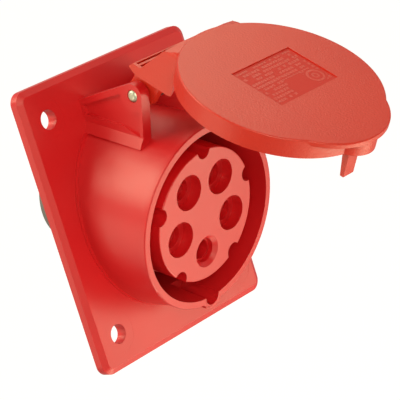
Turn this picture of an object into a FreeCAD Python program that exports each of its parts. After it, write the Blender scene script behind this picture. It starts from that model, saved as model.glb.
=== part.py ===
import FreeCAD, Part
import Sketcher
import os

# Inclined five-pole panel socket with a hinged lid, in millimetres.
# X runs to the right, Y into the panel, Z up. The origin is the middle of the flange's back face.
# The socket's own axis leans down by the mouth tilt, and the lid turns about a pin above it.

doc = FreeCAD.newDocument("PanelSocket")
sheet = doc.addObject("Spreadsheet::Sheet", "Sizes")

SIZES = [
    # Flange that closes the cut-out in the panel
    ("flange_width", 80.0),
    ("flange_height", 97.0),
    ("flange_thickness", 4.0),
    ("flange_corner", 4.0),
    ("bevel_width", 1.2),
    ("bevel_depth", 2.0),
    ("edge_round", 0.4),
    ("hole_from_side", 10.0),
    ("hole_from_end", 11.5),
    ("hole_radius", 3.25),
    ("hole_ring_radius", 6.65),
    ("hole_ring_depth", 0.2),
    # Mouth of the collar, measured from the front of the flange
    ("mouth_tilt", 20.0),
    ("mouth_forward", 26.27),
    ("mouth_drop", 9.0),
    ("mouth_radius", 29.27),
    ("rim_outer", 31.67),
    ("rim_depth", 1.6),
    ("rim_round", 0.5),
    ("neck_radius", 31.2),
    # Foot of the collar on the flange
    ("foot_half_width", 30.4),
    ("foot_half_height", 34.8),
    ("foot_drop", 1.5),
    ("foot_ring_width", 0.9),
    ("foot_ring_height", 0.7),
    # Cup behind the mouth that takes the plug's shroud
    ("cup_depth", 37.5),
    ("cup_floor", 2.5),
    ("cup_floor_radius", 28.3),
    ("cup_outer", 30.2),
    ("seat_radius", 20.2),
    # Keyway at the bottom of the mouth
    ("key_half_width", 3.1),
    ("key_reach", 32.4),
    ("key_depth", 16.0),
    ("key_wall", 1.1),
    ("key_boss_depth", 10.0),
    # Hinge, measured from the rim plane and the mouth's axis
    ("hinge_behind_rim", 17.14),
    ("hinge_from_axis", 42.96),
    ("open_angle", 74.2),
    ("pin_radius", 2.05),
    ("pin_overhang", 0.45),
    ("pin_dome", 1.2),
    ("pin_fit", 0.02),
    ("pin_running_fit", 0.08),
    # Ears that carry the pin
    ("ear_inner", 11.7),
    ("ear_web", 2.8),
    ("ear_raise", 1.0),
    ("ear_front", 4.1),
    ("ear_rise", 4.6),
    ("ear_heel", 38.7),
    ("ear_rail", 2.1),
    ("ear_rib", 1.4),
    ("ear_boss_radius", 5.6),
    ("ear_reach_down", 22.0),
    ("ear_round", 3.9),
    ("ear_recess_back", 1.6),
    ("ear_ledge", 31.7),
    ("ear_ledge_bend", 22.0),
    ("ear_ledge_front", 29.6),
    ("ear_foot_top", 29.4),
    ("ear_foot_low", 26.0),
    ("ear_foot_half", 17.2),
    # Lid, measured from the rim plane
    ("lid_radius", 32.4),
    ("lid_height", 6.4),
    ("lid_gap", 1.2),
    ("lid_wall", 1.5),
    ("lid_roof", 2.4),
    ("lid_round", 0.5),
    ("lid_side_gap", 0.3),
    ("tongue_radius", 23.2),
    ("tongue_offset", 13.2),
    ("tongue_thickness", 1.7),
    ("block_half_width", 16.6),
    ("block_wall", 2.0),
    ("block_back", 10.6),
    ("block_bottom", 8.6),
    ("block_knee", 1.7),
    ("block_knee_height", 11.7),
    ("block_clearance", 0.45),
    ("block_round", 2.0),
    ("block_nose", 2.4),
    ("block_front", 16.2),
    ("block_drop", 0.8),
    ("stop_reach", 2.8),
    ("stop_back", 10.3),
    ("stop_edge", 1.4),
    ("stop_heel", 0.4),
    ("stop_root", 3.0),
    ("stop_low", 9.0),
    ("stop_high", 12.0),
    ("stop_groove", 0.9),
    ("stop_groove_edge", 0.4),
    ("stop_groove_step", 1.7),
    ("stop_groove_end", 1.1),
    ("stop_groove_depth", 1.6),
    ("knuckle_inner", 8.2),
    ("knuckle_radius", 5.0),
    ("link_reach", 4.5),
    ("link_drop", 2.0),
    ("hook_inner", 27.6),
    ("hook_thickness", 3.1),
    ("hook_half_width", 2.6),
    ("hook_tip_half_width", 1.7),
    ("hook_drop", 17.4),
    ("hook_barb", 0.7),
    ("hook_barb_height", 6.0),
    ("label_left", 11.6),
    ("label_right", 16.2),
    ("label_near", 32.1),
    ("label_far", 52.2),
    ("label_depth", 0.35),
    # Rubber ring inside the lid
    ("seal_inner", 26.5),
    ("seal_fit", 0.1),
    ("seal_squeeze_gap", 0.2),
    ("seal_rib", 1.5),
    ("seal_rib_height", 2.8),
    ("seal_notch_gap", 0.4),
    ("seal_bridge", 0.8),
    # Contact carrier in the middle of the cup
    ("carrier_radius", 22.86),
    ("carrier_recess", 1.65),
    ("carrier_round", 0.4),
    ("carrier_neck_fit", 0.2),
    ("flute_radius", 2.95),
    ("flute_depth", 12.0),
    ("contact_circle", 13.3),
    ("entry_radius", 6.0),
    ("entry_depth", 4.2),
    ("lip_radius", 3.9),
    ("lip_depth", 2.0),
    ("contact_fit", 0.1),
    ("earth_entry_radius", 4.2),
    ("earth_bevel", 1.3),
    ("earth_lip_depth", 3.0),
    # Contacts: slotted sleeves with a pillar terminal behind
    ("phase_pin", 2.55),
    ("earth_pin", 3.55),
    ("sleeve_wall", 1.1),
    ("sleeve_gap", 0.3),
    ("slit_width", 0.8),
    ("slit_length", 15.0),
    ("clip_thickness", 0.6),
    ("clip_width", 2.4),
    ("clip_from_front", 3.0),
    ("clip_fit", 0.03),
    ("flange_of_sleeve", 0.95),
    ("pillar_half", 4.2),
    ("pillar_length", 12.0),
    ("pin_bore_depth", 27.0),
    ("wire_radius", 2.2),
    ("wire_bore_depth", 10.0),
    # Terminal carrier behind the cup
    ("terminal_radius", 23.0),
    ("terminal_depth", 14.8),
    ("terminal_pocket_fit", 0.15),
    ("wire_funnel_radius", 3.0),
    ("screw_height", 6.5),
    ("screw_radius", 1.95),
    ("screw_head_radius", 2.4),
    ("screw_head_height", 2.4),
    ("screw_access_radius", 2.7),
    ("screw_bite", 0.8),
    ("screw_slot", 0.8),
    ("thread_fit", 0.05),
    # Screw that holds the two carriers together
    ("middle_screw_length", 22.0),
    ("middle_head_radius", 3.6),
    ("middle_head_height", 2.4),
    ("middle_hole_spare", 3.4),
    # Seal in the back of the flange
    ("flange_seal_inner", 33.6),
    ("flange_seal_width", 3.2),
    ("flange_seal_depth", 1.8),
    # Torsion spring on the pin
    ("spring_wire", 0.55),
    ("spring_sides", 8),
    ("spring_radius", 3.1),
    ("spring_turns", 5.0),
    ("spring_pitch", 2.3),
    ("spring_lean", 6.5),
    ("spring_low_leg", 24.2),
    ("spring_high_leg", 12.0),
]

for row, (alias, value) in enumerate(SIZES, start=1):
    sheet.set("A%d" % row, alias)
    sheet.set("B%d" % row, str(value))
    sheet.setAlias("B%d" % row, alias)
doc.recompute()


# Expressions: a word of the sheet is written with a leading dot, so .lid_radius is Sizes.lid_radius
def full(text):
    return str(text).replace(" .", " Sizes.").replace("(.", "(Sizes.").replace("-.", "-Sizes.")


def expand(text):
    text = full(text)
    return "Sizes" + text if text.startswith(".") else text


def number(text):
    value = sheet.evalExpression(expand(text))
    return float(getattr(value, "Value", value))


def bind(thing, prop, text):
    thing.setExpression(prop, expand(text))


TILT = "(.mouth_tilt * 1 deg)"
MOUTH_Y = "(-.flange_thickness - .mouth_forward)"
MOUTH_Z = "(-.mouth_drop)"
HINGE_Y = "(%s + .hinge_behind_rim * cos%s - .hinge_from_axis * sin%s)" % (MOUTH_Y, TILT, TILT)
HINGE_Z = "(%s + .hinge_behind_rim * sin%s + .hinge_from_axis * cos%s)" % (MOUTH_Z, TILT, TILT)
SKIRT = "(.hinge_behind_rim + .lid_gap)"
LID_TOP = "(.hinge_behind_rim + .lid_gap + .lid_height)"
ROOF = "(.hinge_behind_rim + .lid_gap + .lid_height - .lid_roof)"
SLEEVE_FRONT = "(.carrier_recess + .entry_depth + .lip_depth + .sleeve_gap)"
EARTH_FRONT = "(.carrier_recess + .earth_lip_depth + .sleeve_gap)"
CUP_BACK = "(.cup_depth + .cup_floor)"
EAR_OUTER = "(.ear_inner + .ear_web + .ear_raise)"
PHASE_WELL = "(.phase_pin + .sleeve_wall + .flange_of_sleeve + .contact_fit)"
EARTH_WELL = "(.earth_pin + .sleeve_wall + .flange_of_sleeve + .contact_fit)"
LID_ANGLE = "(90 + .mouth_tilt - .open_angle)"
FULL_TURN = 360
CONTACT_COUNT = 5
HUB_TURNS = (-98, -75, -52, -30, -8, 15)
CUP_AXIS_Z = "(%s + (.mouth_forward + .flange_thickness) * tan%s)" % (MOUTH_Z, TILT)


# Bodies and sketches
def new_body(name):
    made = doc.addObject("PartDesign::Body", name)
    made.Label = name
    return made


def place(made, y, z, angle):
    made.Placement = FreeCAD.Placement(FreeCAD.Vector(0, 0, 0), FreeCAD.Rotation(FreeCAD.Vector(1, 0, 0), 10))
    bind(made, "Placement.Base.y", y)
    bind(made, "Placement.Base.z", z)
    bind(made, "Placement.Rotation.Angle", "(%s) * 1 deg" % angle)


def in_mouth(made):
    place(made, MOUTH_Y, MOUTH_Z, "90 + .mouth_tilt")


def new_sketch(made, name, plane="XY_Plane", out="0", axis=None, angle="0", up="0"):
    sketch = made.newObject("Sketcher::SketchObject", name)
    support = [item for item in made.Origin.OriginFeatures if item.Role == plane][0]
    sketch.AttachmentSupport = (support, [""])
    sketch.MapMode = "FlatFace"
    turn = FreeCAD.Rotation(FreeCAD.Vector(*axis), 10) if axis else FreeCAD.Rotation()
    sketch.AttachmentOffset = FreeCAD.Placement(FreeCAD.Vector(0, 0, 0), turn)
    bind(sketch, "AttachmentOffset.Base.z", out)
    bind(sketch, "AttachmentOffset.Base.y", up)
    if axis:
        bind(sketch, "AttachmentOffset.Rotation.Angle", "(%s) * 1 deg" % angle)
    return sketch


def pin_down(sketch, geometry, point, x, y):
    for kind, text in (("DistanceX", x), ("DistanceY", y)):
        index = sketch.addConstraint(Sketcher.Constraint(kind, -1, 1, geometry, point, number(text)))
        bind(sketch, "Constraints[%d]" % index, text)


def draw_circle(sketch, x, y, radius):
    centre = FreeCAD.Vector(number(x), number(y), 0)
    item = sketch.addGeometry(Part.Circle(centre, FreeCAD.Vector(0, 0, 1), number(radius)), False)
    pin_down(sketch, item, 3, x, y)
    index = sketch.addConstraint(Sketcher.Constraint("Radius", item, number(radius)))
    bind(sketch, "Constraints[%d]" % index, radius)


def draw_polygon(sketch, corners):
    points = [FreeCAD.Vector(number(x), number(y), 0) for x, y in corners]
    count = len(points)
    lines = [Part.LineSegment(points[i], points[(i + 1) % count]) for i in range(count)]
    items = sketch.addGeometry(lines, False)
    for i in range(count):
        sketch.addConstraint(Sketcher.Constraint("Coincident", items[i], 2, items[(i + 1) % count], 1))
    for i in range(count):
        pin_down(sketch, items[i], 1, corners[i][0], corners[i][1])


def draw_box(sketch, left, low, right, high):
    draw_polygon(sketch, [(left, low), (right, low), (right, high), (left, high)])


def extrude(made, kind, sketch, length, backwards=False, both=False, taper=None):
    feature = made.newObject("PartDesign::" + kind, kind + "_" + sketch.Name)
    feature.Profile = sketch
    feature.Reversed = backwards
    feature.Midplane = both
    bind(feature, "Length", length)
    if taper:
        bind(feature, "TaperAngle", taper)
    doc.recompute()
    return feature


def mirror(made, features):
    feature = made.newObject("PartDesign::Mirrored", "Mirrored_" + features[0].Name)
    feature.Originals = features
    support = [item for item in made.Origin.OriginFeatures if item.Role == "YZ_Plane"][0]
    feature.MirrorPlane = (support, [""])
    made.Tip = feature
    doc.recompute()
    return feature


def around(made, features):
    feature = made.newObject("PartDesign::PolarPattern", "Around_" + features[0].Name)
    feature.Originals = features
    support = [item for item in made.Origin.OriginFeatures if item.Role == "Z_Axis"][0]
    feature.Axis = (support, [""])
    feature.Angle = FULL_TURN
    feature.Occurrences = CONTACT_COUNT
    made.Tip = feature
    doc.recompute()
    return feature


def loft(made, kind, sections):
    feature = made.newObject("PartDesign::" + kind, kind + "_" + sections[0].Name)
    feature.Profile = sections[0]
    feature.Sections = sections[1:]
    feature.Ruled = True
    doc.recompute()
    return feature


def edges_where(feature, test):
    return ["Edge%d" % i for i, edge in enumerate(feature.Shape.Edges, start=1) if test(edge)]


def soften(made, base, kind, prop, size, test):
    names = edges_where(base, test)
    feature = made.newObject("PartDesign::" + kind, kind + "_" + base.Name)
    feature.Base = (base, names)
    bind(feature, prop, size)
    doc.recompute()
    return feature


def middle(edge):
    return edge.valueAt((edge.FirstParameter + edge.LastParameter) / 2)


NEAR = 0.01


def is_circle(edge, radius):
    curve = edge.Curve
    return isinstance(curve, Part.Circle) and abs(curve.Radius - radius) < NEAR


# Housing: flange, collar, cup, keyway and ears in one moulding
def across(depth, height):
    y = "(%s + %s * cos%s - %s * sin%s)" % (MOUTH_Y, depth, TILT, height, TILT)
    z = "(%s + %s * sin%s + %s * cos%s)" % (MOUTH_Z, depth, TILT, height, TILT)
    return y, z


def tilted(made, name, depth):
    run = "(.flange_thickness + .mouth_forward - %s * cos%s)" % (depth, TILT)
    rise = "(-.mouth_drop + %s * sin%s)" % (depth, TILT)
    return new_sketch(made, name, "XZ_Plane", run, (1, 0, 0), ".mouth_tilt", rise)


def draw_ellipse(sketch, x, y, half_width, half_height):
    centre = FreeCAD.Vector(number(x), number(y), 0)
    tall = FreeCAD.Vector(0, number(half_height), 0)
    wide = FreeCAD.Vector(number(half_width), 0, 0)
    item = sketch.addGeometry(Part.Ellipse(centre + tall, centre + wide, centre), False)
    pin_down(sketch, item, 3, x, y)
    sketch.exposeInternalGeometry(item)
    for axis, text in ((item + 1, "2 * " + half_height), (item + 2, "2 * " + half_width)):
        index = sketch.addConstraint(Sketcher.Constraint("Distance", axis, number(text)))
        bind(sketch, "Constraints[%d]" % index, text)
    sketch.addConstraint(Sketcher.Constraint("Vertical", item + 1))


def build_housing():
    made = new_body("housing")
    outline = new_sketch(made, "flange_outline", "XZ_Plane")
    draw_box(outline, "-.flange_width / 2", "-.flange_height / 2", ".flange_width / 2", ".flange_height / 2")
    plate = extrude(made, "Pad", outline, ".flange_thickness")
    plate = soften(made, plate, "Fillet", "Radius", ".flange_corner",
                   lambda edge: abs(middle(edge).y + number(".flange_thickness / 2")) < NEAR)
    front = number("-.flange_thickness")
    bevel = made.newObject("PartDesign::Chamfer", "flange_bevel")
    bevel.Base = (plate, edges_where(plate, lambda edge: abs(middle(edge).y - front) < NEAR))
    bevel.ChamferType = "Two distances"
    bind(bevel, "Size", ".bevel_width")
    bind(bevel, "Size2", ".bevel_depth")
    doc.recompute()
    soften(made, bevel, "Fillet", "Radius", ".edge_round", lambda edge: abs(middle(edge).y - front) < NEAR)

    sunk = "(.flange_thickness - .bevel_depth)"
    foot = new_sketch(made, "collar_foot", "XZ_Plane", sunk)
    draw_ellipse(foot, "0", "-.foot_drop", ".foot_half_width", ".foot_half_height")
    neck = tilted(made, "collar_neck", ".rim_depth")
    draw_circle(neck, "0", "0", ".neck_radius")
    loft(made, "AdditiveLoft", [foot, neck])
    ring = new_sketch(made, "foot_ring", "XZ_Plane", sunk)
    draw_ellipse(ring, "0", "-.foot_drop", "(.foot_half_width + .foot_ring_width)",
                 "(.foot_half_height + .foot_ring_width)")
    extrude(made, "Pad", ring, ".bevel_depth + .foot_ring_height")
    rim = tilted(made, "collar_rim", "0")
    draw_circle(rim, "0", "0", ".rim_outer")
    lip = extrude(made, "Pad", rim, ".rim_depth + .rim_round", backwards=True)
    outer = number(".rim_outer")
    mouth = FreeCAD.Vector(0, number(MOUTH_Y), number(MOUTH_Z))
    soften(made, lip, "Fillet", "Radius", ".rim_round",
           lambda edge: is_circle(edge, outer) and edge.Curve.Center.distanceToPoint(mouth) < NEAR)
    boss = tilted(made, "key_boss", "0")
    draw_box(boss, "-.key_half_width - .key_wall", "-.key_reach - .key_wall",
             ".key_half_width + .key_wall", "-.mouth_radius")
    extrude(made, "Pad", boss, ".key_boss_depth", backwards=True)
    cup = tilted(made, "cup_outside", ".key_boss_depth")
    draw_circle(cup, "0", "0", ".cup_outer")
    extrude(made, "Pad", cup, "%s - .key_boss_depth" % CUP_BACK, backwards=True)

    front_y = "(%s - .ear_front)" % HINGE_Y
    low_y = "(%s + .ear_reach_down * sin%s)" % (front_y, TILT)
    low_z = "(%s - .ear_reach_down * cos%s)" % (HINGE_Z, TILT)
    top_front = ("(%s - .ear_rise * tan%s)" % (front_y, TILT), "(%s + .ear_rise)" % HINGE_Z)
    heel = ("(-.flange_thickness + .bevel_depth)", ".ear_heel")
    for name, side in (("right_ear", ".ear_inner"), ("left_ear", "-" + EAR_OUTER)):
        ear = new_sketch(made, name, "YZ_Plane", side)
        draw_polygon(ear, [(low_y, low_z), (heel[0], low_z), heel, top_front])
        ears = extrude(made, "Pad", ear, ".ear_web + .ear_raise")
    corner = (number(top_front[0]), number(top_front[1]))
    soften(made, ears, "Fillet", "Radius", ".ear_round",
           lambda edge: abs(middle(edge).y - corner[0]) < NEAR and abs(middle(edge).z - corner[1]) < NEAR)
    ear_depth = "(.hinge_behind_rim - .ear_front * cos%s)" % TILT
    foot = tilted(made, "ear_feet", ear_depth)
    for side in ("", "-"):
        inner = side + "(.ear_inner + .ear_web)"
        draw_polygon(foot, [(inner, ".ear_foot_top"), (side + EAR_OUTER, ".ear_foot_top"),
                            (side + ".ear_foot_half", ".ear_foot_low"), (inner, ".ear_foot_low")])
    extrude(made, "Pad", foot, "%s - %s" % (CUP_BACK, ear_depth), backwards=True)
    slope = "((%s - .ear_heel) / (%s - %s))" % (top_front[1], top_front[0], heel[0])
    back_y = "(-.flange_thickness - .ear_recess_back)"
    rail_z = "(.ear_heel - .ear_rail + (%s - %s) * %s)" % (back_y, heel[0], slope)
    ledge_z = "(%s + (.ear_ledge + (%s - %s) * sin%s) / cos%s)" % (MOUTH_Z, back_y, MOUTH_Y, TILT, TILT)
    rib_depth = "(%s + .ear_rib)" % ear_depth
    outline = [(back_y, ledge_z)]
    outline.append(across(".ear_ledge_bend", ".ear_ledge"))
    outline.append(across(rib_depth, ".ear_ledge_front"))
    for turn in HUB_TURNS:
        outline.append(("(%s + .ear_boss_radius * cos(%d * 1 deg))" % (HINGE_Y, turn),
                        "(%s + .ear_boss_radius * sin(%d * 1 deg))" % (HINGE_Z, turn)))
    recess = new_sketch(made, "ear_recess", "YZ_Plane", ".ear_inner + .ear_web")
    draw_polygon(recess, outline + [(back_y, rail_z)])
    mirror(made, [extrude(made, "Pocket", recess, ".ear_raise", backwards=True)])

    bore_front = tilted(made, "bore_front", "-1 * .rim_depth")
    draw_circle(bore_front, "0", "0", ".mouth_radius")
    bore_back = tilted(made, "bore_back", ".cup_depth")
    draw_circle(bore_back, "0", "0", ".cup_floor_radius")
    loft(made, "SubtractiveLoft", [bore_front, bore_back])
    seat = tilted(made, "carrier_seat", ".cup_depth")
    draw_circle(seat, "0", "0", ".seat_radius")
    extrude(made, "Pocket", seat, ".cup_floor * 2")
    behind = tilted(made, "terminal_clearance", CUP_BACK)
    draw_circle(behind, "0", "0", ".terminal_radius + .terminal_pocket_fit")
    extrude(made, "Pocket", behind, ".terminal_depth")
    key = tilted(made, "keyway", "0")
    draw_box(key, "-.key_half_width", "-.key_reach", ".key_half_width", "-.cup_floor_radius + .key_wall")
    extrude(made, "Pocket", key, ".key_depth")
    pin = new_sketch(made, "pin_holes", "YZ_Plane")
    draw_circle(pin, HINGE_Y, HINGE_Z, ".pin_radius + .pin_fit")
    extrude(made, "Pocket", pin, "4 * .block_half_width", both=True)
    holes = new_sketch(made, "flange_holes", "XZ_Plane")
    rings = new_sketch(made, "hole_rings", "XZ_Plane", ".flange_thickness")
    for side in ("-(.flange_width / 2 - .hole_from_side)", "(.flange_width / 2 - .hole_from_side)"):
        for level in ("-(.flange_height / 2 - .hole_from_end)", "(.flange_height / 2 - .hole_from_end)"):
            draw_circle(holes, side, level, ".hole_radius")
            draw_circle(rings, side, level, ".hole_ring_radius")
    extrude(made, "Pocket", rings, ".hole_ring_depth")
    extrude(made, "Pocket", holes, "4 * .flange_thickness", both=True)
    seal = new_sketch(made, "seal_groove", "XZ_Plane")
    draw_circle(seal, "0", CUP_AXIS_Z, ".flange_seal_inner")
    draw_circle(seal, "0", CUP_AXIS_Z, ".flange_seal_inner + .flange_seal_width")
    extrude(made, "Pocket", seal, ".flange_seal_depth", backwards=True)
    return made


# Seal: a rubber ring in the groove behind the flange
def build_flange_seal():
    made = new_body("flange_seal")
    ring = new_sketch(made, "seal_ring", "XZ_Plane")
    draw_circle(ring, "0", CUP_AXIS_Z, ".flange_seal_inner + .seal_fit")
    draw_circle(ring, "0", CUP_AXIS_Z, ".flange_seal_inner + .flange_seal_width - .seal_fit")
    extrude(made, "Pad", ring, ".flange_seal_depth")
    return made


# Contact carrier: the five-hole insert that stands in the cup
def spot(step):
    angle = "(270 + 72 * %d) * 1 deg" % step
    return "(.contact_circle * cos(%s))" % angle, "(.contact_circle * sin(%s))" % angle


def build_contact_carrier():
    made = new_body("contact_carrier")
    in_mouth(made)
    core = new_sketch(made, "carrier_core", out="-.cup_depth")
    draw_circle(core, "0", "0", ".carrier_radius")
    column = extrude(made, "Pad", core, ".cup_depth - .carrier_recess")
    face = number("-.carrier_recess")
    soften(made, column, "Fillet", "Radius", ".carrier_round", lambda edge: abs(middle(edge).z - face) < NEAR)
    neck = new_sketch(made, "carrier_neck", out="-%s" % CUP_BACK)
    draw_circle(neck, "0", "0", ".seat_radius - .carrier_neck_fit")
    extrude(made, "Pad", neck, ".cup_floor")
    flutes = new_sketch(made, "carrier_flutes", out="-.carrier_recess")
    for step in range(CONTACT_COUNT):
        angle = "(18 + 72 * %d) * 1 deg" % step
        x, y = [".carrier_radius * %s(%s)" % (word, angle) for word in ("cos", "sin")]
        draw_circle(flutes, x, y, ".flute_radius")
    extrude(made, "Pocket", flutes, ".flute_depth")
    entries = new_sketch(made, "phase_entries", out="-.carrier_recess")
    lips = new_sketch(made, "phase_lips", out="-.carrier_recess")
    wells = new_sketch(made, "phase_wells", out="-%s" % CUP_BACK)
    for step in range(1, CONTACT_COUNT):
        draw_circle(entries, *spot(step), ".entry_radius")
        draw_circle(lips, *spot(step), ".lip_radius")
        draw_circle(wells, *spot(step), PHASE_WELL)
    extrude(made, "Pocket", entries, ".entry_depth")
    extrude(made, "Pocket", lips, ".cup_depth / 2")
    phase_well = "%s - .carrier_recess - .entry_depth - .lip_depth" % CUP_BACK
    extrude(made, "Pocket", wells, phase_well, backwards=True)
    earth = new_sketch(made, "earth_entry", out="-.carrier_recess")
    draw_circle(earth, *spot(0), ".earth_entry_radius")
    extrude(made, "Pocket", earth, ".cup_depth / 2")
    earth_well = new_sketch(made, "earth_well", out="-%s" % CUP_BACK)
    draw_circle(earth_well, *spot(0), EARTH_WELL)
    deep = "%s - .carrier_recess - .earth_lip_depth" % CUP_BACK
    last = extrude(made, "Pocket", earth_well, deep, backwards=True)
    entry = number(".earth_entry_radius")
    soften(made, last, "Chamfer", "Size", ".earth_bevel",
           lambda edge: is_circle(edge, entry) and abs(edge.Curve.Center.z - face) < NEAR)
    screw = new_sketch(made, "middle_screw_hole", out="-%s" % CUP_BACK)
    draw_circle(screw, "0", "0", ".screw_radius + .thread_fit")
    screw_end = ".middle_screw_length - .terminal_depth"
    extrude(made, "Pocket", screw, screw_end + " + .middle_hole_spare", backwards=True)
    return made


# Terminal carrier: the block behind the cup with a pocket for each terminal
def build_terminal_carrier():
    made = new_body("terminal_carrier")
    in_mouth(made)
    block = new_sketch(made, "terminal_block", out="-%s" % CUP_BACK)
    draw_circle(block, "0", "0", ".terminal_radius")
    extrude(made, "Pad", block, ".terminal_depth", backwards=True)
    half = "(.pillar_half + .terminal_pocket_fit)"
    funnel = new_sketch(made, "wire_funnel", out="-%s - .terminal_depth" % CUP_BACK)
    draw_circle(funnel, "0", "-.contact_circle", ".wire_funnel_radius")
    cuts = [extrude(made, "Pocket", funnel, ".terminal_depth", backwards=True)]
    pocket = new_sketch(made, "terminal_pocket", out="-%s" % CUP_BACK)
    draw_box(pocket, "-" + half, "-.contact_circle - " + half, half, "-.contact_circle + " + half)
    cuts.append(extrude(made, "Pocket", pocket, ".pillar_length + .terminal_pocket_fit"))
    access = new_sketch(made, "screw_access", "XZ_Plane", ".contact_circle")
    draw_circle(access, "0", "-%s - .screw_height" % CUP_BACK, ".screw_access_radius")
    cuts.append(extrude(made, "Pocket", access, ".terminal_radius", backwards=True))
    around(made, cuts)
    head = new_sketch(made, "middle_head_seat", out="-%s - .terminal_depth" % CUP_BACK)
    draw_circle(head, "0", "0", ".middle_head_radius + .seal_fit")
    extrude(made, "Pocket", head, ".middle_head_height", backwards=True)
    shank = new_sketch(made, "middle_shank_hole", out="-%s - .terminal_depth" % CUP_BACK)
    draw_circle(shank, "0", "0", ".screw_radius + .thread_fit")
    extrude(made, "Pocket", shank, ".terminal_depth", backwards=True)
    return made


def build_middle_screw():
    made = new_body("carrier_screw")
    in_mouth(made)
    back = "-%s - .terminal_depth" % CUP_BACK
    head = new_sketch(made, "middle_head", out=back)
    draw_circle(head, "0", "0", ".middle_head_radius")
    extrude(made, "Pad", head, ".middle_head_height")
    shank = new_sketch(made, "middle_shank", out=back)
    draw_circle(shank, "0", "0", ".screw_radius")
    extrude(made, "Pad", shank, ".middle_screw_length")
    slot = new_sketch(made, "middle_slot", out=back)
    long = ".middle_head_radius * 2"
    draw_box(slot, "-.screw_slot / 2", "-" + long, ".screw_slot / 2", long)
    extrude(made, "Pocket", slot, ".middle_head_height / 2", backwards=True)
    return made


# Contacts: each one is modelled at the bottom of the circle and then turned to its place
PLACES = [
    ("earth", 0, ".earth_pin", EARTH_FRONT),
    ("l1", 1, ".phase_pin", SLEEVE_FRONT),
    ("l2", 2, ".phase_pin", SLEEVE_FRONT),
    ("l3", 3, ".phase_pin", SLEEVE_FRONT),
    ("neutral", 4, ".phase_pin", SLEEVE_FRONT),
]


def turn_in_mouth(made, step):
    lean = FreeCAD.Rotation(FreeCAD.Vector(1, 0, 0), number("90 + .mouth_tilt"))
    spin = FreeCAD.Rotation(FreeCAD.Vector(0, 0, 1), FULL_TURN / CONTACT_COUNT * step)
    made.Placement = FreeCAD.Placement(FreeCAD.Vector(0, 0, 0), lean.multiply(spin))
    bind(made, "Placement.Base.y", MOUTH_Y)
    bind(made, "Placement.Base.z", MOUTH_Z)


def build_contact(name, step, pin, front):
    made = new_body("contact_" + name)
    turn_in_mouth(made, step)
    centre = "-.contact_circle"
    outer = "(%s + .sleeve_wall)" % pin
    sleeve = new_sketch(made, name + "_sleeve", out="-%s" % front)
    draw_circle(sleeve, "0", centre, outer)
    extrude(made, "Pad", sleeve, "%s - %s" % (CUP_BACK, front), backwards=True)
    shoulder = new_sketch(made, name + "_shoulder", out="-%s" % CUP_BACK)
    draw_circle(shoulder, "0", centre, outer + " + .flange_of_sleeve")
    extrude(made, "Pad", shoulder, ".cup_floor")
    pillar = new_sketch(made, name + "_pillar", out="-%s" % CUP_BACK)
    draw_box(pillar, "-.pillar_half", "-.contact_circle - .pillar_half", ".pillar_half",
             "-.contact_circle + .pillar_half")
    extrude(made, "Pad", pillar, ".pillar_length", backwards=True)
    bore = new_sketch(made, name + "_bore", out="-%s" % front)
    draw_circle(bore, "0", centre, pin)
    extrude(made, "Pocket", bore, ".pin_bore_depth")
    long = outer + " * 2"
    for cut, wide, tall in (("across", long, ".slit_width / 2"), ("along", ".slit_width / 2", long)):
        slit = new_sketch(made, "%s_slit_%s" % (name, cut), out="-%s" % front)
        draw_box(slit, "-" + wide, "-.contact_circle - " + tall, wide, "-.contact_circle + " + tall)
        extrude(made, "Pocket", slit, ".slit_length")
    wire = new_sketch(made, name + "_wire", out="-%s - .pillar_length" % CUP_BACK)
    draw_circle(wire, "0", centre, ".wire_radius")
    extrude(made, "Pocket", wire, ".wire_bore_depth", backwards=True)
    thread = new_sketch(made, name + "_thread", "XZ_Plane", ".contact_circle")
    draw_circle(thread, "0", "-%s - .screw_height" % CUP_BACK, ".screw_radius + .thread_fit")
    extrude(made, "Pocket", thread, ".pillar_half * 2", backwards=True)
    return made


def build_clip(name, step, pin, front):
    made = new_body("clip_" + name)
    turn_in_mouth(made, step)
    inner = "%s + .sleeve_wall + .clip_fit" % pin
    ring = new_sketch(made, name + "_clip", out="-%s - .clip_from_front" % front)
    draw_circle(ring, "0", "-.contact_circle", inner)
    draw_circle(ring, "0", "-.contact_circle", inner + " + .clip_thickness")
    extrude(made, "Pad", ring, ".clip_width", backwards=True)
    return made


def build_terminal_screw(name, step):
    made = new_body("terminal_screw_" + name)
    turn_in_mouth(made, step)
    height = "-%s - .screw_height" % CUP_BACK
    seat = "(.contact_circle + .pillar_half + .terminal_pocket_fit)"
    shank = new_sketch(made, name + "_shank", "XZ_Plane", ".contact_circle + .screw_bite")
    draw_circle(shank, "0", height, ".screw_radius")
    extrude(made, "Pad", shank, "%s - .contact_circle - .screw_bite" % seat)
    head = new_sketch(made, name + "_head", "XZ_Plane", seat)
    draw_circle(head, "0", height, ".screw_head_radius")
    extrude(made, "Pad", head, ".screw_head_height")
    slot = new_sketch(made, name + "_slot", "XZ_Plane", seat + " + .screw_head_height")
    draw_box(slot, "-.screw_head_radius * 2", "%s - .screw_slot / 2" % height, ".screw_head_radius * 2",
             "%s + .screw_slot / 2" % height)
    extrude(made, "Pocket", slot, ".screw_head_height / 2")
    return made


# Lid: local Y points from its middle to the hinge, local Z out of its top, with the pin at the origin
def on_hinge(made, angle):
    place(made, HINGE_Y, HINGE_Z, angle)


LID_MIDDLE = "-.hinge_from_axis"


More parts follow.
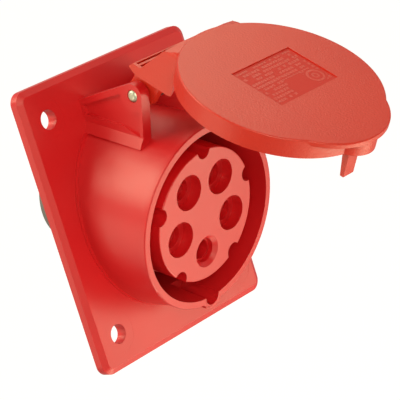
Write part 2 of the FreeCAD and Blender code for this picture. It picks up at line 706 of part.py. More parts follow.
def build_lid():
    made = new_body("lid")
    on_hinge(made, LID_ANGLE)
    block = new_sketch(made, "hinge_block", "YZ_Plane")
    inside = "-.hinge_from_axis + .lid_radius / 2"
    block_top = "(%s - .block_drop)" % LID_TOP
    draw_polygon(block, [("-.block_back", block_top), (inside, block_top), (inside, SKIRT),
                         ("-.block_front", SKIRT), ("-.block_front", ".block_bottom"),
                         ("0", ".block_bottom"), ("-.block_knee", ".block_knee_height")])
    raw = extrude(made, "Pad", block, "2 * .block_half_width", both=True)
    nose_y, nose_z = number("-.block_front"), number(".block_bottom")
    raw = soften(made, raw, "Fillet", "Radius", ".block_nose",
                 lambda edge: abs(middle(edge).y - nose_y) < NEAR and abs(middle(edge).z - nose_z) < NEAR)
    side, high = number(".block_half_width"), number(block_top)
    soften(made, raw, "Fillet", "Radius", ".block_round",
           lambda edge: abs(abs(middle(edge).x) - side) < NEAR and abs(middle(edge).z - high) < NEAR)
    disc = new_sketch(made, "lid_disc", out=SKIRT)
    draw_circle(disc, "0", LID_MIDDLE, ".lid_radius")
    extrude(made, "Pad", disc, ".lid_height")
    tongue = new_sketch(made, "lid_tongue", out="%s - .tongue_thickness" % LID_TOP)
    draw_circle(tongue, "0", "-.hinge_from_axis - .tongue_offset", ".tongue_radius")
    plate = extrude(made, "Pad", tongue, ".tongue_thickness")
    top = number(LID_TOP)
    soften(made, plate, "Fillet", "Radius", ".lid_round", lambda edge: abs(middle(edge).z - top) < NEAR)
    bar = new_sketch(made, "stop_bar", "YZ_Plane")
    draw_polygon(bar, [(".stop_reach", ".stop_back"), (".stop_edge", ".stop_high"),
                       ("-.stop_root", ".stop_high"), ("-.stop_root", ".stop_low"),
                       (".stop_heel", ".stop_low")])
    extrude(made, "Pad", bar, "2 * .block_half_width", both=True)
    swept = new_sketch(made, "collar_clearance", out=SKIRT)
    draw_circle(swept, "0", LID_MIDDLE, ".rim_outer + .block_clearance")
    extrude(made, "Pocket", swept, ".hinge_behind_rim")
    hollow = new_sketch(made, "lid_hollow", out=SKIRT)
    draw_circle(hollow, "0", LID_MIDDLE, ".lid_radius - .lid_wall")
    extrude(made, "Pocket", hollow, ".lid_height - .lid_roof", backwards=True)
    rib = new_sketch(made, "seal_rib", out=ROOF)
    draw_circle(rib, "0", LID_MIDDLE, ".seal_inner - .seal_fit")
    draw_circle(rib, "0", LID_MIDDLE, ".seal_inner - .seal_fit - .seal_rib")
    extrude(made, "Pad", rib, ".seal_rib_height", backwards=True)
    front_wall = "(.hinge_from_axis - .rim_outer - .block_clearance - .block_wall)"
    shell = new_sketch(made, "block_hollow", "YZ_Plane")
    under = "%s - .block_wall" % SKIRT
    draw_polygon(shell, [("-.block_wall", "0"), ("-" + front_wall, "0"), ("-" + front_wall, under),
                         ("-%s + .block_wall" % front_wall, under),
                         ("-.block_knee - .block_wall", ".block_knee_height")])
    extrude(made, "Pocket", shell, "2 * .block_half_width - 2 * .block_wall", both=True)
    knuckle = new_sketch(made, "knuckle_eye", "YZ_Plane", ".knuckle_inner")
    draw_circle(knuckle, "0", "0", ".knuckle_radius")
    eye = extrude(made, "Pad", knuckle, ".ear_inner - .lid_side_gap - .knuckle_inner")
    link = new_sketch(made, "knuckle_link", "YZ_Plane", ".knuckle_inner")
    root = ".stop_low + .block_wall"
    draw_polygon(link, [(".link_reach", ".link_drop"), (".block_knee", root), ("-" + front_wall, root),
                        ("-.link_reach", "-.link_drop")])
    arm = extrude(made, "Pad", link, ".ear_inner - .lid_side_gap - .knuckle_inner")
    mirror(made, [eye, arm])
    bore = new_sketch(made, "knuckle_bore", "YZ_Plane")
    draw_circle(bore, "0", "0", ".pin_radius + .pin_running_fit")
    extrude(made, "Pocket", bore, "4 * .block_half_width", both=True)
    grooves = new_sketch(made, "stop_grooves", out=".stop_high")
    reach = "(.block_half_width - .stop_groove_end)"
    first = "(.stop_edge - .stop_groove_edge)"
    for start in (first, "(%s - .stop_groove_step)" % first):
        draw_box(grooves, "-" + reach, "%s - .stop_groove" % start, reach, start)
    extrude(made, "Pocket", grooves, ".stop_groove_depth")
    hook = new_sketch(made, "hook_leg", "XZ_Plane", ".hinge_from_axis + .hook_inner")
    tip = "(%s - .hook_drop)" % LID_TOP
    root = "(%s + .lid_roof / 2)" % ROOF
    draw_polygon(hook, [("-.hook_half_width", root), ("-.hook_tip_half_width", tip),
                        (".hook_tip_half_width", tip), (".hook_half_width", root)])
    extrude(made, "Pad", hook, ".hook_thickness")
    barb = new_sketch(made, "hook_barb", "YZ_Plane")
    face = "(-.hinge_from_axis - .hook_inner)"
    draw_polygon(barb, [(face, tip), (face, tip + " + .hook_barb_height"), (face + " + .hook_barb", tip)])
    extrude(made, "Pad", barb, "2 * .hook_tip_half_width", both=True)
    label = new_sketch(made, "label_field", out=LID_TOP)
    draw_box(label, "-.label_left", "-.label_far", ".label_right", "-.label_near")
    extrude(made, "Pocket", label, ".label_depth")
    return made


def build_lid_seal():
    made = new_body("lid_seal")
    on_hinge(made, LID_ANGLE)
    ring = new_sketch(made, "lid_seal_ring", out=".hinge_behind_rim + .seal_squeeze_gap")
    draw_circle(ring, "0", LID_MIDDLE, ".seal_inner")
    draw_circle(ring, "0", LID_MIDDLE, ".lid_radius - .lid_wall - .seal_fit")
    extrude(made, "Pad", ring, "%s - .hinge_behind_rim - .seal_squeeze_gap" % ROOF)
    notch = new_sketch(made, "hook_notch")
    draw_box(notch, "-.hook_half_width - .seal_notch_gap", "-.hinge_from_axis - .lid_radius",
             ".hook_half_width + .seal_notch_gap", "-.hinge_from_axis - .seal_inner - .seal_bridge")
    extrude(made, "Pocket", notch, LID_TOP, backwards=True)
    return made


# Hinge pin with domed ends, and the torsion spring round it
def build_hinge_pin():
    made = new_body("hinge_pin")
    on_hinge(made, "0")
    rod = new_sketch(made, "pin_rod", "YZ_Plane")
    draw_circle(rod, "0", "0", ".pin_radius")
    solid = extrude(made, "Pad", rod, "2 * (%s + .pin_overhang)" % EAR_OUTER, both=True)
    radius = number(".pin_radius")
    soften(made, solid, "Fillet", "Radius", ".pin_dome", lambda edge: is_circle(edge, radius))
    return made


AHEAD = FreeCAD.Vector(1, 0, 0)


def build_lid_spring():
    turns = "(.spring_turns + (90 - %s - .spring_lean) / 360)" % LID_ANGLE
    coil = doc.addObject("Part::Helix", "spring_line")
    bind(coil, "Pitch", ".spring_pitch")
    bind(coil, "Height", "%s * .spring_pitch" % turns)
    bind(coil, "Radius", ".spring_radius")
    coil.LocalCoord = "Left-handed"
    section = doc.addObject("Part::RegularPolygon", "spring_section")
    section.Placement = FreeCAD.Placement(AHEAD, FreeCAD.Rotation(AHEAD, 90))
    bind(section, "Polygon", ".spring_sides")
    bind(section, "Circumradius", ".spring_wire")
    bind(section, "Placement.Base.x", ".spring_radius")
    wire = doc.addObject("Part::Sweep", "spring_coil")
    wire.Sections = [section]
    wire.Spine = (coil, ["Edge1"])
    wire.Solid = True
    wire.Frenet = True
    low = doc.addObject("Part::Prism", "spring_low_leg")
    low.Placement = FreeCAD.Placement(AHEAD, FreeCAD.Rotation(AHEAD, -90))
    bind(low, "Placement.Base.x", ".spring_radius")
    high = doc.addObject("Part::Prism", "spring_high_leg")
    end = -FULL_TURN * number(turns)
    spin = FreeCAD.Rotation(FreeCAD.Vector(0, 0, 1), end)
    lean = FreeCAD.Rotation(AHEAD, 90)
    start = spin.multVec(FreeCAD.Vector(number(".spring_radius"), 0, 0))
    high.Placement = FreeCAD.Placement(start, spin.multiply(lean))
    bind(high, "Placement.Base.z", "%s * .spring_pitch" % turns)
    for leg, length in ((low, ".spring_low_leg"), (high, ".spring_high_leg")):
        bind(leg, "Polygon", ".spring_sides")
        bind(leg, "Circumradius", ".spring_wire")
        bind(leg, "Height", length)
    made = doc.addObject("Part::MultiFuse", "lid_spring")
    made.Label = "lid_spring"
    made.Shapes = [wire, low, high]
    down = FreeCAD.Vector(0, 0, -1)
    into_panel = FreeCAD.Vector(0, 1, 0)
    frame = FreeCAD.Rotation(down, into_panel, AHEAD, "ZXY")
    made.Placement = FreeCAD.Placement(FreeCAD.Vector(0, 0, 0), frame)
    bind(made, "Placement.Base.x", "-%s * .spring_pitch / 2" % turns)
    bind(made, "Placement.Base.y", HINGE_Y)
    bind(made, "Placement.Base.z", HINGE_Z)
    doc.recompute()
    return made


NODES = [build_housing(), build_flange_seal(), build_contact_carrier(), build_terminal_carrier(),
         build_middle_screw(), build_lid(), build_lid_seal(), build_hinge_pin(), build_lid_spring()]
for name, step, pin, front in PLACES:
    NODES.append(build_contact(name, step, pin, front))
    NODES.append(build_clip(name, step, pin, front))
    NODES.append(build_terminal_screw(name, step))
doc.recompute()

# Every object has to be sound before anything is written
for item in doc.Objects:
    if "Invalid" in item.State or "Error" in item.State:
        raise RuntimeError("%s did not build: %s" % (item.Label, item.State))
for node in NODES:
    if node.Shape.isNull() or not node.Shape.isValid():
        raise RuntimeError("%s has no sound shape" % node.Label)
os.makedirs("parts", exist_ok=True)
for node in NODES:
    node.Shape.exportStep("parts/%s.step" % node.Label)
    solids = len(node.Shape.Solids)
    print("%-24s solids %d  volume %9.1f mm3" % (node.Label, solids, node.Shape.Volume))
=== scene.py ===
from math import cos, radians, sin

import bmesh
import bpy
from mathutils import Matrix, Vector


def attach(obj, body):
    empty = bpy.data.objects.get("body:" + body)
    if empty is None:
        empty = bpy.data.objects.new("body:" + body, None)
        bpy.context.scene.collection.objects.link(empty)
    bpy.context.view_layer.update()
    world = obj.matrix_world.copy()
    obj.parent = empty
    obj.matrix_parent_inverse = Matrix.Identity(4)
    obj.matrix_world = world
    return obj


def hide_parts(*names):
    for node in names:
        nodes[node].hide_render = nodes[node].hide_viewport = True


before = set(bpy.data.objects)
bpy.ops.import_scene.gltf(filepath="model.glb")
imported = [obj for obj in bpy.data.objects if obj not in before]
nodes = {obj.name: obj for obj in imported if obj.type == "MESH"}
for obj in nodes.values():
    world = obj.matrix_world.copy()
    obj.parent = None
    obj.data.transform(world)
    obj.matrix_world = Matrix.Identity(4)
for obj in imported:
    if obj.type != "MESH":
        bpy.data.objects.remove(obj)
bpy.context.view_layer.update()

scene = bpy.context.scene


# Housing: the flange, the angled collar and the two hinge ears.
# One moulding in signal-red polyamide, glossy, with a fine orange peel and slight flow marks.
# It takes the CAD housing's place, with rounder keyway corners and shallower recesses round the screw holes.
class Socket:
    """An output of a node, which the usual operators turn into Math nodes."""

    def __init__(self, graph, link):
        self.graph = graph
        self.link = link

    def math(self, operation, first, second):
        return self.graph.node("ShaderNodeMath", {"operation": operation}, {0: first, 1: second})

    def __add__(self, other):
        return self.math("ADD", self, other)

    def __radd__(self, other):
        return self.math("ADD", other, self)

    def __sub__(self, other):
        return self.math("SUBTRACT", self, other)

    def __rsub__(self, other):
        return self.math("SUBTRACT", other, self)

    def __mul__(self, other):
        return self.math("MULTIPLY", self, other)

    def __rmul__(self, other):
        return self.math("MULTIPLY", other, self)

    def __truediv__(self, other):
        return self.math("DIVIDE", self, other)

    def __gt__(self, other):
        return self.math("GREATER_THAN", self, other)

    def __lt__(self, other):
        return self.math("LESS_THAN", self, other)


class Graph:
    """The node tree of a material or of the world."""

    def __init__(self, owner):
        owner.use_nodes = True
        self.tree = owner.node_tree
        self.tree.nodes.clear()

    def node(self, kind, settings=None, inputs=None, output=0):
        """Makes a node, sets its options, fills or links its inputs and gives back one of its outputs."""
        made = self.tree.nodes.new(kind)
        for name, value in (settings or {}).items():
            setattr(made, name, value)
        for name, value in (inputs or {}).items():
            if isinstance(value, Socket):
                self.tree.links.new(value.link, made.inputs[name])
            else:
                made.inputs[name].default_value = value
        return Socket(self, made.outputs[output]) if made.outputs else None

    def position(self):
        """The shaded point in the object's own coordinates, which here are the frame's."""
        return self.node("ShaderNodeTexCoord", output=3)

    def noise(self, place, scale, detail=2.0, roughness=0.5):
        return self.node("ShaderNodeTexNoise", None,
                         {"Vector": place, "Scale": scale, "Detail": detail, "Roughness": roughness})

    def mix(self, factor, first, second):
        return self.node("ShaderNodeMix", {"data_type": "RGBA"}, {0: factor, 6: first, 7: second}, 2)

    def step(self, value, low, high):
        return self.node("ShaderNodeMapRange", {"interpolation_type": "SMOOTHSTEP"},
                         {"Value": value, "From Min": low, "From Max": high})

    def bump(self, height, strength, distance):
        return self.node("ShaderNodeBump", None,
                         {"Strength": strength, "Distance": distance, "Height": height})

    def surface(self, colour, roughness, bump, constants):
        """The material's shader, from what varies over the piece and the constants of its other sockets."""
        shine = self.node("ShaderNodeBsdfPrincipled", None,
                          {"Base Color": colour, "Roughness": roughness, "Normal": bump, **constants})
        self.node("ShaderNodeOutputMaterial", None, {"Surface": shine})


PLASTIC = {"IOR": 1.53}
DRIFT_SCALE = 38.0
DRIFT_STEP = (0.35, 0.7)
FLOW_SCALE = 150.0
FLOW_GLOSS = 0.06


def moulded(name, colour, pale, roughness, grain, grain_depth):
    """Moulded plastic or rubber: a slow drift of colour, a fine grain and an uneven gloss."""
    material = bpy.data.materials.new(name)
    graph = Graph(material)
    place = graph.position()
    drift = graph.step(graph.noise(place, DRIFT_SCALE, 3.0), *DRIFT_STEP)
    flow = graph.noise(place, FLOW_SCALE)
    fine = graph.noise(place, grain, roughness=0.6)
    graph.surface(graph.mix(drift, colour, pale), roughness + FLOW_GLOSS * (flow - 0.5),
                  graph.bump(fine, 0.5, grain_depth), PLASTIC)
    return material


def dress(material, *names):
    for name in names:
        slots = nodes[name].data.materials
        slots.clear()
        slots.append(material)


def add(name, data):
    """A new object in the scene."""
    made = bpy.data.objects.new(name, data)
    scene.collection.objects.link(made)
    return made


def solid(name, shape):
    """An object from a closed shape, with its faces turned outwards."""
    bmesh.ops.recalc_face_normals(shape, faces=shape.faces)
    mesh = bpy.data.meshes.new(name)
    shape.to_mesh(mesh)
    shape.free()
    return add(name, mesh)


def following(items):
    """The same items, from the second on and round to the first."""
    return items[1:] + items[:1]


def wall(shape, first, second):
    """Four-sided faces between two loops of vertices."""
    for corners in zip(first, following(first), following(second), second):
        shape.faces.new(corners)


def prism(name, ends):
    """A solid between two outlines with the same number of points."""
    shape = bmesh.new()
    first, second = [[shape.verts.new(point) for point in end] for end in ends]
    wall(shape, first, second)
    shape.faces.new(first)
    shape.faces.new(second)
    return solid(name, shape)


def arc(radius, first, last, step):
    """Points on a circle round zero, from one angle in degrees until another."""
    return [(radius * cos(radians(turn)), radius * sin(radians(turn))) for turn in range(first, last, step)]


TUBE_STEP = 8


def tube(shape, place, centre, steps):
    """A closed ring round a centre, from pairs of a radius and a depth."""
    rings = [[shape.verts.new(place(centre[0] + x, centre[1] + up, depth))
              for x, up in arc(radius, 0, 360, TUBE_STEP)] for radius, depth in steps]
    for ring, next_ring in zip(rings, following(rings)):
        wall(shape, ring, next_ring)


SHARP_ANGLE = radians(24)  # between two faces: anything flatter is shaded smooth


def reshaped(name, node, cuts, additions):
    """A copy of a CAD node's solid with pieces cut from it and added to it, and with no material yet."""
    made = add(name, nodes[node].data.copy())
    for operation, tools in (("DIFFERENCE", cuts), ("UNION", additions)):
        for tool in tools:
            change = made.modifiers.new(operation, "BOOLEAN")
            change.operation = operation
            change.solver = "EXACT"
            change.object = tool
    mesh = bpy.data.meshes.new_from_object(made.evaluated_get(bpy.context.evaluated_depsgraph_get()))
    made.modifiers.clear()
    made.data = mesh
    if "custom_normal" in mesh.attributes:
        mesh.attributes.remove(mesh.attributes["custom_normal"])
    mesh.shade_smooth()
    mesh.set_sharp_from_angle(angle=SHARP_ANGLE)
    mesh.materials.clear()
    made.modifiers.new("flat faces", "WEIGHTED_NORMAL").keep_sharp = True
    for tool in cuts + additions:
        bpy.data.objects.remove(tool)
    return made


SIDES = (-1, 1)
MOUTH = Vector((0.0, -0.03027, -0.009))
TILT = radians(20)


def in_mouth(x, up, depth):
    """Millimetres to the right, up across the mouth and behind the rim, as a place in the frame."""
    inwards = depth * cos(TILT) - up * sin(TILT)
    upwards = depth * sin(TILT) + up * cos(TILT)
    return MOUTH + Vector((x, inwards, upwards)) / 1000


def key_arc(radius, first, step):
    """The lowest quarter of a circle round the keyway's middle, from an angle in degrees."""
    return [(x, KEY_MIDDLE + up) for x, up in arc(radius, first, 271, step)]


KEY_MIDDLE = -29.3
KEY_CORNER = [(-3.3, KEY_MIDDLE), *key_arc(3.1, 180, 10), (0.0, -32.7), (-3.3, -32.7)]
KEY_DEPTHS = (0.0, 15.9)
BOSS_CORNER = [(-4.6, -31.5), *key_arc(4.25, 212, 8), (0.0, -34.2), (-4.6, -34.2)]
BOSS_DEPTHS = (-0.5, 10.5)


def mirrored(name, outline, depths):
    """Two prisms along the mouth's axis, one on each side of the keyway."""
    return [prism(name, [[in_mouth(side * x, up, depth) for x, up in outline] for depth in depths])
            for side in SIDES]


key_fillers = mirrored("key_corner", KEY_CORNER, KEY_DEPTHS)
boss_cutters = mirrored("boss_corner", BOSS_CORNER, BOSS_DEPTHS)


def on_flange(x, up, ahead):
    """Millimetres to the right, up and in front of the flange's back face, as a place in the frame."""
    return Vector((x, -ahead, up)) / 1000


HOLE_X = 30.0
HOLE_UP = 37.0
HOLE_RING = [(3.3, 3.5), (6.8, 3.5), (6.8, 3.97), (3.3, 3.97)]
hole_rings = bmesh.new()
for x in SIDES:
    for up in SIDES:
        tube(hole_rings, on_flange, (x * HOLE_X, up * HOLE_UP), HOLE_RING)
housing = reshaped("housing_moulding", "housing", boss_cutters, key_fillers + [solid("hole_rings", hole_rings)])
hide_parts("housing")
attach(housing, "base")
RED = (0.60, 0.0090, 0.0150, 1)
RED_PALE = (0.63, 0.0100, 0.0160, 1)
housing.data.materials.append(moulded("red housing plastic", RED, RED_PALE, 0.38, 2600.0, 0.00002))


# Contact carrier: the five-hole insert in the cup.
# The same red plastic, a little glossier, with the moulding's fine grain.
carrier_plastic = moulded("red carrier plastic", RED, RED_PALE, 0.34, 1900.0, 0.00003)
dress(carrier_plastic, "contact_carrier")


# Throats: red rings behind the lip of each contact hole, in front of the brass.
# Moulded in the carrier's plastic, one for each hole. The earth hole's ring goes on into its wider bore.
CONTACT_COUNT = 5
CONTACT_CIRCLE = 13.3
LOWEST = 270
EARTH_THROAT = [(3.48, 4.70), (4.18, 4.70), (4.18, 4.90), (3.54, 4.90), (3.54, 12.0), (3.48, 12.0)]
PHASE_THROAT = [(2.6, 7.90), (3.88, 7.90), (3.88, 8.12), (2.6, 8.12)]
throat_rings = bmesh.new()
centres = arc(CONTACT_CIRCLE, LOWEST, LOWEST + 360, 360 // CONTACT_COUNT)
for centre, steps in zip(centres, [EARTH_THROAT] + [PHASE_THROAT] * (CONTACT_COUNT - 1)):
    tube(throat_rings, in_mouth, centre, steps)
throats = solid("throats", throat_rings)
throats.data.materials.append(carrier_plastic)
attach(throats, "base")


# Lid: cap, pull tongue, hinge block and hook in one moulding.
# It takes the CAD lid's place, with the tapered hook, the grip under the tongue and rounder block ends.
# Its top has a spark-eroded grain, and the smoother label field carries raised marks that say nothing.
HINGE = Vector((0.0, -0.028857, 0.037231))
LID_ANGLE = radians(35.8)
LID_OUT = Vector((0.0, -sin(LID_ANGLE), cos(LID_ANGLE)))
LID_AHEAD = Vector((0.0, -cos(LID_ANGLE), -sin(LID_ANGLE)))
SIDEWAYS = Vector((1.0, 0.0, 0.0))


def on_lid(x, ahead, out):
    """Millimetres to the right, ahead of the hinge and out of the lid's top, as a place in the frame."""
    return HINGE + (SIDEWAYS * x + LID_AHEAD * ahead + LID_OUT * out) / 1000


def across_lid(name, outline, sides):
    """A prism with one outline, in pairs of ahead and out, from one side to the other."""
    return prism(name, [[on_lid(x, ahead, out) for ahead, out in outline] for x in sides])


HOOK = [(70.56, 20.5), (73.7, 20.5), (73.7, 7.34), (72.4, 7.34)]
HOOK_SIDES = (-2.7, 2.4)
OLD_HOOK = [(69.0, 18.2), (76.0, 18.2), (76.0, 4.0), (69.0, 4.0)]
OLD_HOOK_SIDES = (-4.0, 4.0)
hook = across_lid("hook", HOOK, HOOK_SIDES)
old_hook = across_lid("old_hook", OLD_HOOK, OLD_HOOK_SIDES)
GRIP_RADIUS = 8.5
GRIP_AHEAD = 70.4
GRIP_HEIGHTS = (18.34, 23.4)
GRIP_BACK = [(-7.6, 73.6), (-3.8, 74.3), (0.0, 74.5), (3.8, 74.3), (7.6, 73.6)]
grip_outline = [(x, GRIP_AHEAD + ahead) for x, ahead in arc(GRIP_RADIUS, 15, 166, 5)] + GRIP_BACK
grip = prism("grip", [[on_lid(x, ahead, out) for x, ahead in grip_outline] for out in GRIP_HEIGHTS])
END_BEVELS = {
    9.5: [(8.5, 24.3), (8.5, 23.95), (17.5, 22.1), (17.5, 24.3)],
    14.8: [(8.5, 24.3), (8.5, 24.1), (17.5, 23.85), (17.5, 24.3)],
}
bevels = [prism("block_end", [[on_lid(side * x, ahead, out) for x, out in outline]
                              for ahead, outline in END_BEVELS.items()]) for side in SIDES]
lid = reshaped("lid_moulding", "lid", [old_hook] + bevels, [hook, grip])
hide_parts("lid")
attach(lid, "cover")
LID_RED = (0.60, 0.018, 0.0065, 1)
LID_PALE = (0.62, 0.022, 0.0075, 1)
FIELD_RED = (0.57, 0.010, 0.005, 1)
FIELD = (-11.6, 16.2), (32.1, 52.2)
MARKED = (-10.8, 15.4), (33.0, 51.4)
UNMARKED = (0.0, 8.2), (43.4, 52.2)
FIELD_OUT = 24.0
BADGE = (11.4, 47.2)
BADGE_RINGS = (2.3, 3.1), (0.7, 1.3)
BADGE_ROOM = 3.8
ROW_PITCH = 1.7
ROW_SPAN = (0.24, 0.86)
BAR_PITCH = 1.3
BAR_SHARE = 0.8
GAP_CHANCE = 0.2
BAR_SEED = 4.0
MARK_RELIEF = 1.2
GRAIN_RELIEF = 0.5
LID_ROUGHNESS = 0.38
FIELD_DULLER = 0.22
lid_plastic = bpy.data.materials.new("red lid plastic")
graph = Graph(lid_plastic)
place = graph.position()


def coordinate(along):
    """Millimetres from the hinge along a direction, at the shaded point."""
    turned = graph.node("ShaderNodeVectorMath", {"operation": "DOT_PRODUCT"}, {0: place, 1: along}, 1)
    return (turned - along.dot(HINGE)) * 1000


def between(value, low, high):
    return (value > low) * (value < high)


def within(rectangle):
    """One inside a rectangle of the lid's top, given by its sides and its ends."""
    return between(across, *rectangle[0]) * between(ahead, *rectangle[1])


def cell(value, pitch):
    """The number of a cell, and how far the point is through it."""
    number = graph.node("ShaderNodeMath", {"operation": "FLOOR"}, {0: value / pitch})
    return number, value / pitch - number


across, ahead, out = [coordinate(along) for along in (SIDEWAYS, LID_AHEAD, LID_OUT)]
row, in_row = cell(ahead, ROW_PITCH)
column, in_column = cell(across, BAR_PITCH)
cells = graph.node("ShaderNodeCombineXYZ", None, {0: column, 1: row, 2: BAR_SEED})
chance = graph.node("ShaderNodeTexWhiteNoise", {"noise_dimensions": "3D"}, {"Vector": cells})
bars = (chance > GAP_CHANCE) * between(in_row, *ROW_SPAN) * (in_column < BAR_SHARE)
from_badge = graph.node("ShaderNodeCombineXYZ", None, {0: across - BADGE[0], 1: ahead - BADGE[1]})
radius = graph.node("ShaderNodeVectorMath", {"operation": "LENGTH"}, {0: from_badge}, 1)
badge = between(radius, *BADGE_RINGS[0]) + between(radius, *BADGE_RINGS[1])
rows = bars * (1 - within(UNMARKED)) * (1 - (radius < BADGE_ROOM))
field = within(FIELD) * (out > FIELD_OUT)
marks = field * within(MARKED) * (rows + badge)
smooth = field * (1 - marks)
drift = graph.step(graph.noise(place, DRIFT_SCALE, 3.0), *DRIFT_STEP)
shade = graph.mix(smooth, graph.mix(drift, LID_RED, LID_PALE), FIELD_RED)
grain = graph.noise(place, 1500.0, roughness=0.6)
relief = graph.bump(marks * MARK_RELIEF + (1 - smooth) * grain * GRAIN_RELIEF, 0.8, 0.0002)
graph.surface(shade, LID_ROUGHNESS + FIELD_DULLER * smooth, relief, PLASTIC)
lid.data.materials.append(lid_plastic)


# Hinge pin, terminal screws and carrier screw: zinc-plated steel.
# The pin's domed ends and the screws' heads have a pale grey-green passivation and fine tool marks.
STAIN_SCALE = 420.0
STAIN_STEP = (0.35, 0.75)
STAIN_DULLER = 0.15
TOOL_MARK_SCALE = 3000.0


def metal(name, colour, dark, roughness, metallic):
    """Worn metal: darker, rougher stains and fine marks."""
    material = bpy.data.materials.new(name)
    graph = Graph(material)
    place = graph.position()
    stain = graph.step(graph.noise(place, STAIN_SCALE, 4.0, 0.6), *STAIN_STEP)
    tool_marks = graph.noise(place, TOOL_MARK_SCALE)
    graph.surface(graph.mix(stain, colour, dark), roughness + STAIN_DULLER * stain,
                  graph.bump(tool_marks, 0.4, 0.00002), {"Metallic": metallic})
    return material


def one_each(kind):
    """The names of the nodes of a kind that every contact has."""
    return [kind + name for name in ("earth", "l1", "l2", "l3", "neutral")]


zinc = metal("zinc plate", (0.62, 0.60, 0.50, 1), (0.40, 0.40, 0.33, 1), 0.32, 0.75)
dress(zinc, "hinge_pin", "carrier_screw", *one_each("terminal_screw_"))


# Torsion spring on the hinge pin, and the clips round the contacts' sleeves.
# Both are drawn steel, wire for the spring and strip for the clips, bright with faint darker stains.
spring_steel = metal("spring steel", (0.50, 0.50, 0.50, 1), (0.30, 0.30, 0.31, 1), 0.28, 1.0)
dress(spring_steel, "lid_spring", *one_each("clip_"))


# Contacts: slotted sleeves, each with a pillar terminal behind it.
# They are turned in brass with random darker stains of tarnish, and sit in the carrier's holes. Their whole
# colour is also painted darker and redder than bright brass: painted shade for the dim, red-bounced light deep
# in those holes.
brass_tarnish_and_painted_shade = metal("turned brass, tarnished, with painted shade", (0.62, 0.38, 0.19, 1), (0.40, 0.21, 0.11, 1), 0.3, 1.0)
dress(brass_tarnish_and_painted_shade, *one_each("contact_"))


# Terminal carrier: the block behind the cup that holds the terminals.
# It is moulded in a matt dark grey plastic with a coarser grain, and one screw pulls it to the contact carrier.
GREY = (0.18, 0.17, 0.18, 1)
GREY_PALE = (0.21, 0.195, 0.205, 1)
terminal_plastic = moulded("grey terminal plastic", GREY, GREY_PALE, 0.5, 1700.0, 0.00005)
dress(terminal_plastic, "terminal_carrier")


# Seals: one ring in the lid, and one in a groove behind the flange.
# Both are moulded in soft black rubber with a matt, slightly uneven skin.
rubber = moulded("black rubber", (0.016, 0.016, 0.017, 1), (0.03, 0.03, 0.03, 1), 0.62, 1200.0, 0.00006)
dress(rubber, "lid_seal", "flange_seal")


# Studio: a pale floor well below the part, in a dim warm room that the camera sees as white.
# A broad lamp stands beside the camera, and smaller ones fill in from behind it, the left, the right and below.
GLOSS_SHARE = 0.35
WHITE = (1, 1, 1, 1)


def show_white(graph, plain, white, output):
    """Mixes a plain shader with a white one, which the camera and glass see whole and a gloss in part."""
    path = graph.node("ShaderNodeLightPath").link.node.outputs
    camera_ray, glossy, through = [Socket(graph, path[name])
                                   for name in ("Is Camera Ray", "Is Glossy Ray", "Is Transmission Ray")]
    share = camera_ray + through + GLOSS_SHARE * glossy
    both = graph.node("ShaderNodeMixShader", None, {0: share, 1: plain, 2: white})
    graph.node(output, None, {"Surface": both})


FLOOR_HALF = 7.0
FLOOR_HEIGHT = -0.62
FLOOR_GREY = (0.3, 0.28, 0.24, 1)
FLOOR_GLOW = 0.94
floor_mesh = bpy.data.meshes.new("floor")
corners = [(x * FLOOR_HALF, y * FLOOR_HALF, FLOOR_HEIGHT) for x, y in ((-1, -1), (1, -1), (1, 1), (-1, 1))]
floor_mesh.from_pydata(corners, [], [(0, 1, 2, 3)])
floor = add("floor", floor_mesh)
paint = bpy.data.materials.new("pale floor")
graph = Graph(paint)
matt = graph.node("ShaderNodeBsdfDiffuse", None, {"Color": FLOOR_GREY})
glow = graph.node("ShaderNodeEmission", None, {"Color": WHITE, "Strength": FLOOR_GLOW})
white_floor = graph.node("ShaderNodeAddShader", None, {0: glow, 1: matt})
show_white(graph, matt, white_floor, "ShaderNodeOutputMaterial")
floor_mesh.materials.append(paint)

ROOM_COLOUR = (1, 0.99, 0.62, 1)
ROOM_LIGHT = 0.3
scene.world = bpy.data.worlds.new("studio")
graph = Graph(scene.world)
room = graph.node("ShaderNodeBackground", None, {"Color": ROOM_COLOUR, "Strength": ROOM_LIGHT})
white_room = graph.node("ShaderNodeBackground", None, {"Color": WHITE, "Strength": 1.0})
show_white(graph, room, white_room, "ShaderNodeOutputWorld")

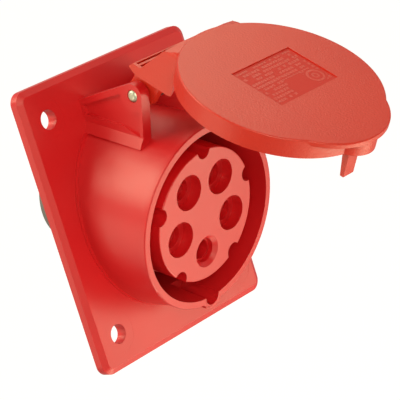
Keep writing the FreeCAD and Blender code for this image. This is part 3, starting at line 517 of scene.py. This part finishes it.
LAMP_COLOUR = (1.0, 0.99, 0.69)
LIT_POINT = Vector((0.0, -0.04, 0.0))
LAMPS = {
    # name: direction from the part, distance and side in metres, power in watts
    "lamp beside the camera": ((-0.45, -0.80, 0.40), 1.0, 0.9, 4.2),
    "lamp behind the camera": ((-0.68, -0.71, 0.20), 1.0, 0.3, 2.4),
    "left back lamp": ((-0.50, 0.50, 0.70), 1.0, 0.6, 6.9),
    "lower left lamp": ((-0.61, -0.61, -0.51), 1.0, 0.6, 1.4),
    "left edge panel": ((-0.80, 0.58, -0.12), 1.0, 0.6, 1.9),
    "lower right softbox": ((0.65, -0.65, -0.39), 0.397, 0.2, 0.5),
    "upper right softbox": ((0.50, 0.08, 0.86), 0.396, 0.2, 0.3),
    "low right fill": ((0.46, -0.43, -0.77), 0.647, 0.3, 1.0),
    "low fill": ((0.10, -0.21, -0.97), 0.566, 0.35, 1.6),
}
for name, (direction, distance, side, power) in LAMPS.items():
    light = bpy.data.lights.new(name, "AREA")
    light.size = side
    light.energy = power
    light.color = LAMP_COLOUR
    away = Vector(direction).normalized()
    lamp = add(name, light)
    lamp.location = LIT_POINT + away * distance
    lamp.rotation_euler = away.to_track_quat("Z", "Y").to_euler()
    lamp.visible_camera = False


# Camera: to the left of the mouth, a little above it and rolled, as the photograph was taken.
# A long lens, so that the flange's edges stay nearly parallel, and the plain view transform.
AZIMUTH = radians(-43.936)
ELEVATION = radians(11.4516)
ROLL = radians(-17.3185)
DISTANCE = 0.66768
AIM = Vector((0.013063, -0.014578, -0.007082))
back = Vector((sin(AZIMUTH) * cos(ELEVATION), -cos(AZIMUTH) * cos(ELEVATION), sin(ELEVATION)))
camera_data = bpy.data.cameras.new("camera")
camera_data.lens = 180.0
camera_data.sensor_width = 36.0
camera_data.clip_start = 0.01
camera = add("camera", camera_data)
level = (-back).to_track_quat("-Z", "Y").to_matrix().to_4x4()
camera.matrix_world = Matrix.Translation(AIM + back * DISTANCE) @ level @ Matrix.Rotation(ROLL, 4, "Z")
scene.camera = camera
scene.view_settings.view_transform = "Standard"
